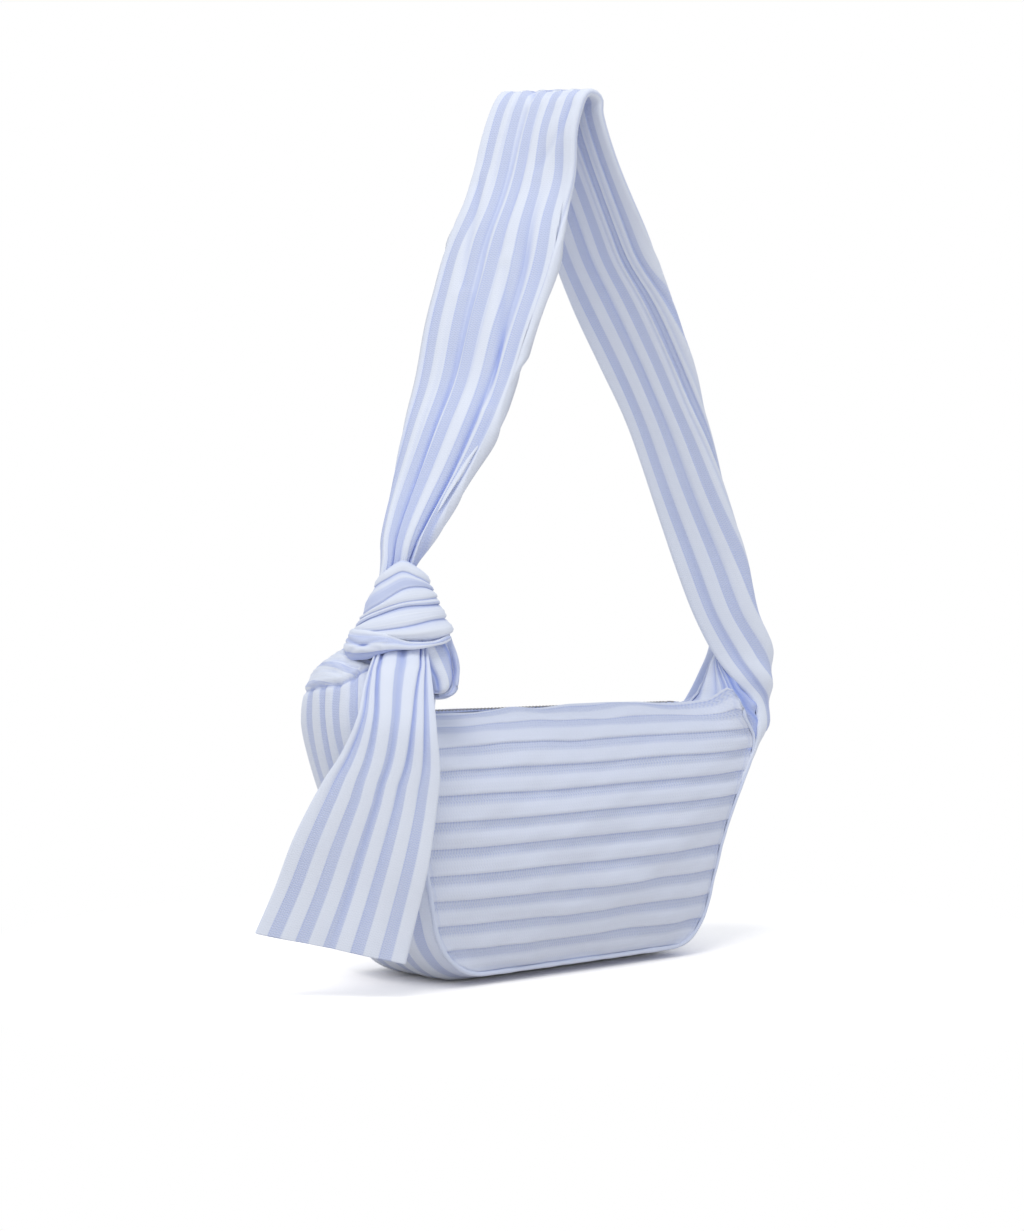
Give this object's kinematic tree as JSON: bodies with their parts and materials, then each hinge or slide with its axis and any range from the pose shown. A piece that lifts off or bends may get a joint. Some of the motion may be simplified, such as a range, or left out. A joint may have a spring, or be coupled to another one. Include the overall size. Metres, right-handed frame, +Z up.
{
  "type": "knit shoulder bag",
  "caption": "Soft striped knit shoulder bag with a top zip, a wide gusset that runs on into the strap, and a knotted strap end with a hanging tail.",
  "frame": {"origin": "middle of the flat base, on the floor", "axes": "+X along the bag towards the plain end of the strap, the front faces -Y, +Z up"},
  "size_m": [0.4119, 0.1295, 0.5725],
  "materials": {
    "rib_knit": "matte rib knit with white and pale blue stripes",
    "welt_knit": "matte fine knit",
    "lining_cloth": "smooth woven lining",
    "zip_tape_cloth": "woven tape",
    "zip_metal": "dark satin nickel"
  },
  "bodies": {
    "bag": {"front_panel": "rib_knit", "back_panel": "rib_knit", "gusset_band": "rib_knit", "front_seam_welt": "welt_knit", "back_seam_welt": "welt_knit", "lining_front": "lining_cloth", "lining_back": "lining_cloth", "lining_gusset": "lining_cloth", "end_gather_left": "rib_knit", "end_gather_right": "rib_knit", "left_tab": "rib_knit", "strap_root_right": "rib_knit", "zip_tape_front": "zip_tape_cloth", "zip_tape_back": "zip_tape_cloth", "zip_teeth_front": "zip_metal", "zip_teeth_back": "zip_metal", "zip_stop_left": "zip_metal", "zip_stop_right": "zip_metal", "knot_core": "rib_knit", "knot_wrap": "rib_knit", "knot_roll": "rib_knit", "knot_loop": "rib_knit", "knot_neck": "rib_knit"},
    "slider": {"zip_slider": "zip_metal"},
    "pull": {"zip_pull": "zip_metal"},
    "strap": {"strap_left_run": "rib_knit", "strap_right_run": "rib_knit"},
    "tail": {"strap_tail": "rib_knit", "tail_hem": "rib_knit"}
  },
  "joints": [
    {"name": "zip_slide", "type": "slide", "parent": "bag", "child": "slider", "axis": [0.9998, 0, -0.0222], "range_m": [0, 0.218]},
    {"name": "pull_swing", "type": "hinge", "parent": "slider", "child": "pull", "pos_m": [-0.11187, 0, 0.17488], "axis": [0, -1, 0], "range_deg": [0, 110]},
    {"name": "strap_swing", "type": "hinge", "parent": "bag", "child": "strap", "pos_m": [-0.118, -0.008, 0.27], "axis": [0.9706, -0.0137, -0.2401], "range_deg": [-75, 75], "deforming": ["knot_neck", "strap_root_right"]},
    {"name": "tail_lift", "type": "hinge", "parent": "bag", "child": "tail", "pos_m": [-0.1408, -0.0321, 0.2114], "axis": [-0.7431, 0.6691, 0], "range_deg": [0, 80]}
  ]
}
